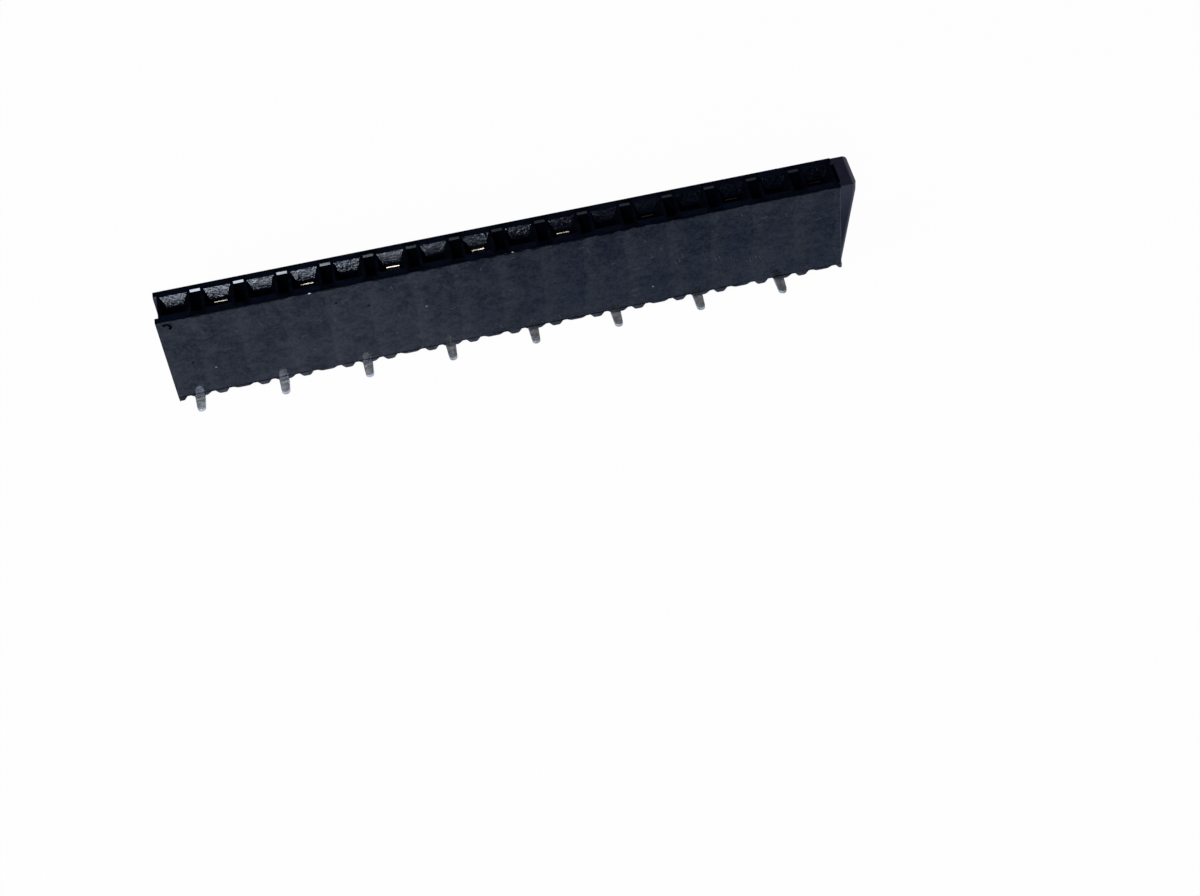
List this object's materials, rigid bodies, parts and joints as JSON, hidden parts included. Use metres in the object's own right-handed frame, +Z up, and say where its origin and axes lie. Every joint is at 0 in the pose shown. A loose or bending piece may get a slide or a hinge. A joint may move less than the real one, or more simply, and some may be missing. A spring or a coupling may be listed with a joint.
{
  "type": "female pin header strip",
  "caption": "Black single-row surface-mount socket strip with lead-in funnels and zig-zag solder legs.",
  "frame": {"origin": "Middle of the strip's own box in X and Y, on the board surface that the solder legs stand on.", "axes": "+X runs along the row to the cut stub, +Y is the side that the even contacts' legs point to, +Z is up, away from the board."},
  "size_m": [0.0414, 0.0044, 0.0071],
  "materials": {
    "housing_plastic": "satin",
    "contact_metal": "plated"
  },
  "bodies": {
    "root": {"housing": "housing_plastic", "contact_01": "contact_metal", "contact_02": "contact_metal", "contact_03": "contact_metal", "contact_04": "contact_metal", "contact_05": "contact_metal", "contact_06": "contact_metal", "contact_07": "contact_metal", "contact_08": "contact_metal", "contact_09": "contact_metal", "contact_10": "contact_metal", "contact_11": "contact_metal", "contact_12": "contact_metal", "contact_13": "contact_metal", "contact_14": "contact_metal", "contact_15": "contact_metal", "contact_16": "contact_metal"}
  },
  "joints": []
}
